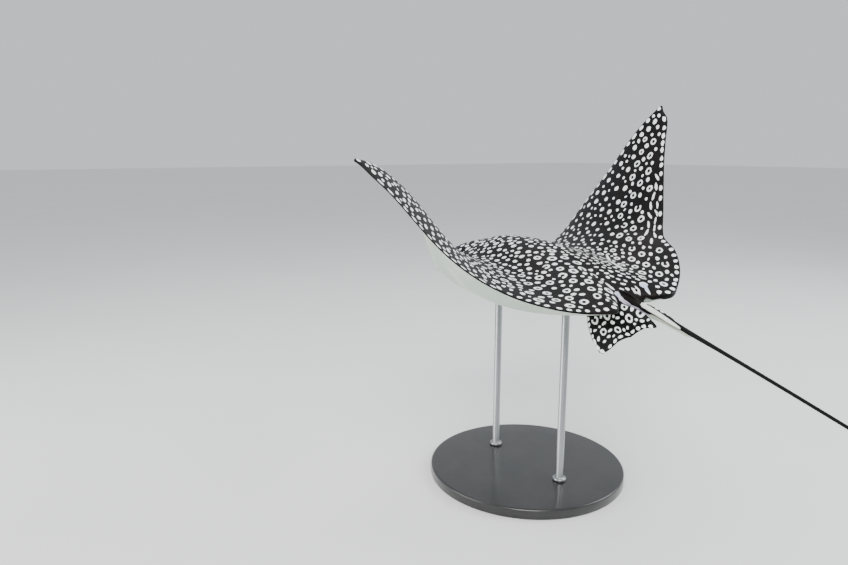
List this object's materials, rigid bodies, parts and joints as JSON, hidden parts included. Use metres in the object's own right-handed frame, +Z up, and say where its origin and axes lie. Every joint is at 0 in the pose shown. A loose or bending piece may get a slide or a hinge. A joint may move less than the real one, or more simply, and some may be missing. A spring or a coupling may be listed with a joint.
{
  "type": "spotted eagle ray model",
  "caption": "Life-size still model of a spotted eagle ray swimming with raised wings, long whip tail trailing, held on rods over a round base.",
  "frame": {"origin": "middle of the underside of the round stand base, under the ray's balance point", "axes": "+Z up, +Y the way the ray heads, +X to the ray's right; the tail trails along -Y"},
  "size_m": [1.0847, 3.0997, 1.1327],
  "materials": {
    "skin": "smooth satin hide, near-black brown above with white rings and spots, pale below",
    "tail_skin": "smooth satin black",
    "sting": "off-white bony spine",
    "eye": "glossy dark glass eye",
    "stand": "dark satin lacquer over board",
    "rod": "brushed steel rod"
  },
  "bodies": {
    "root": {"head": "skin", "trunk": "skin", "wing_left_inner": "skin", "wing_left_outer": "skin", "wing_right_inner": "skin", "wing_right_outer": "skin", "pelvic_fin_left": "skin", "pelvic_fin_right": "skin", "dorsal_fin": "skin", "tail_base": "skin", "tail_front": "tail_skin", "tail_middle": "tail_skin", "tail_rear": "tail_skin", "tail_tip": "tail_skin", "sting_upper": "sting", "sting_lower": "sting", "eye_left": "eye", "eye_right": "eye", "stand_base": "stand", "stand_rod_front": "rod", "stand_rod_rear": "rod"}
  },
  "joints": []
}
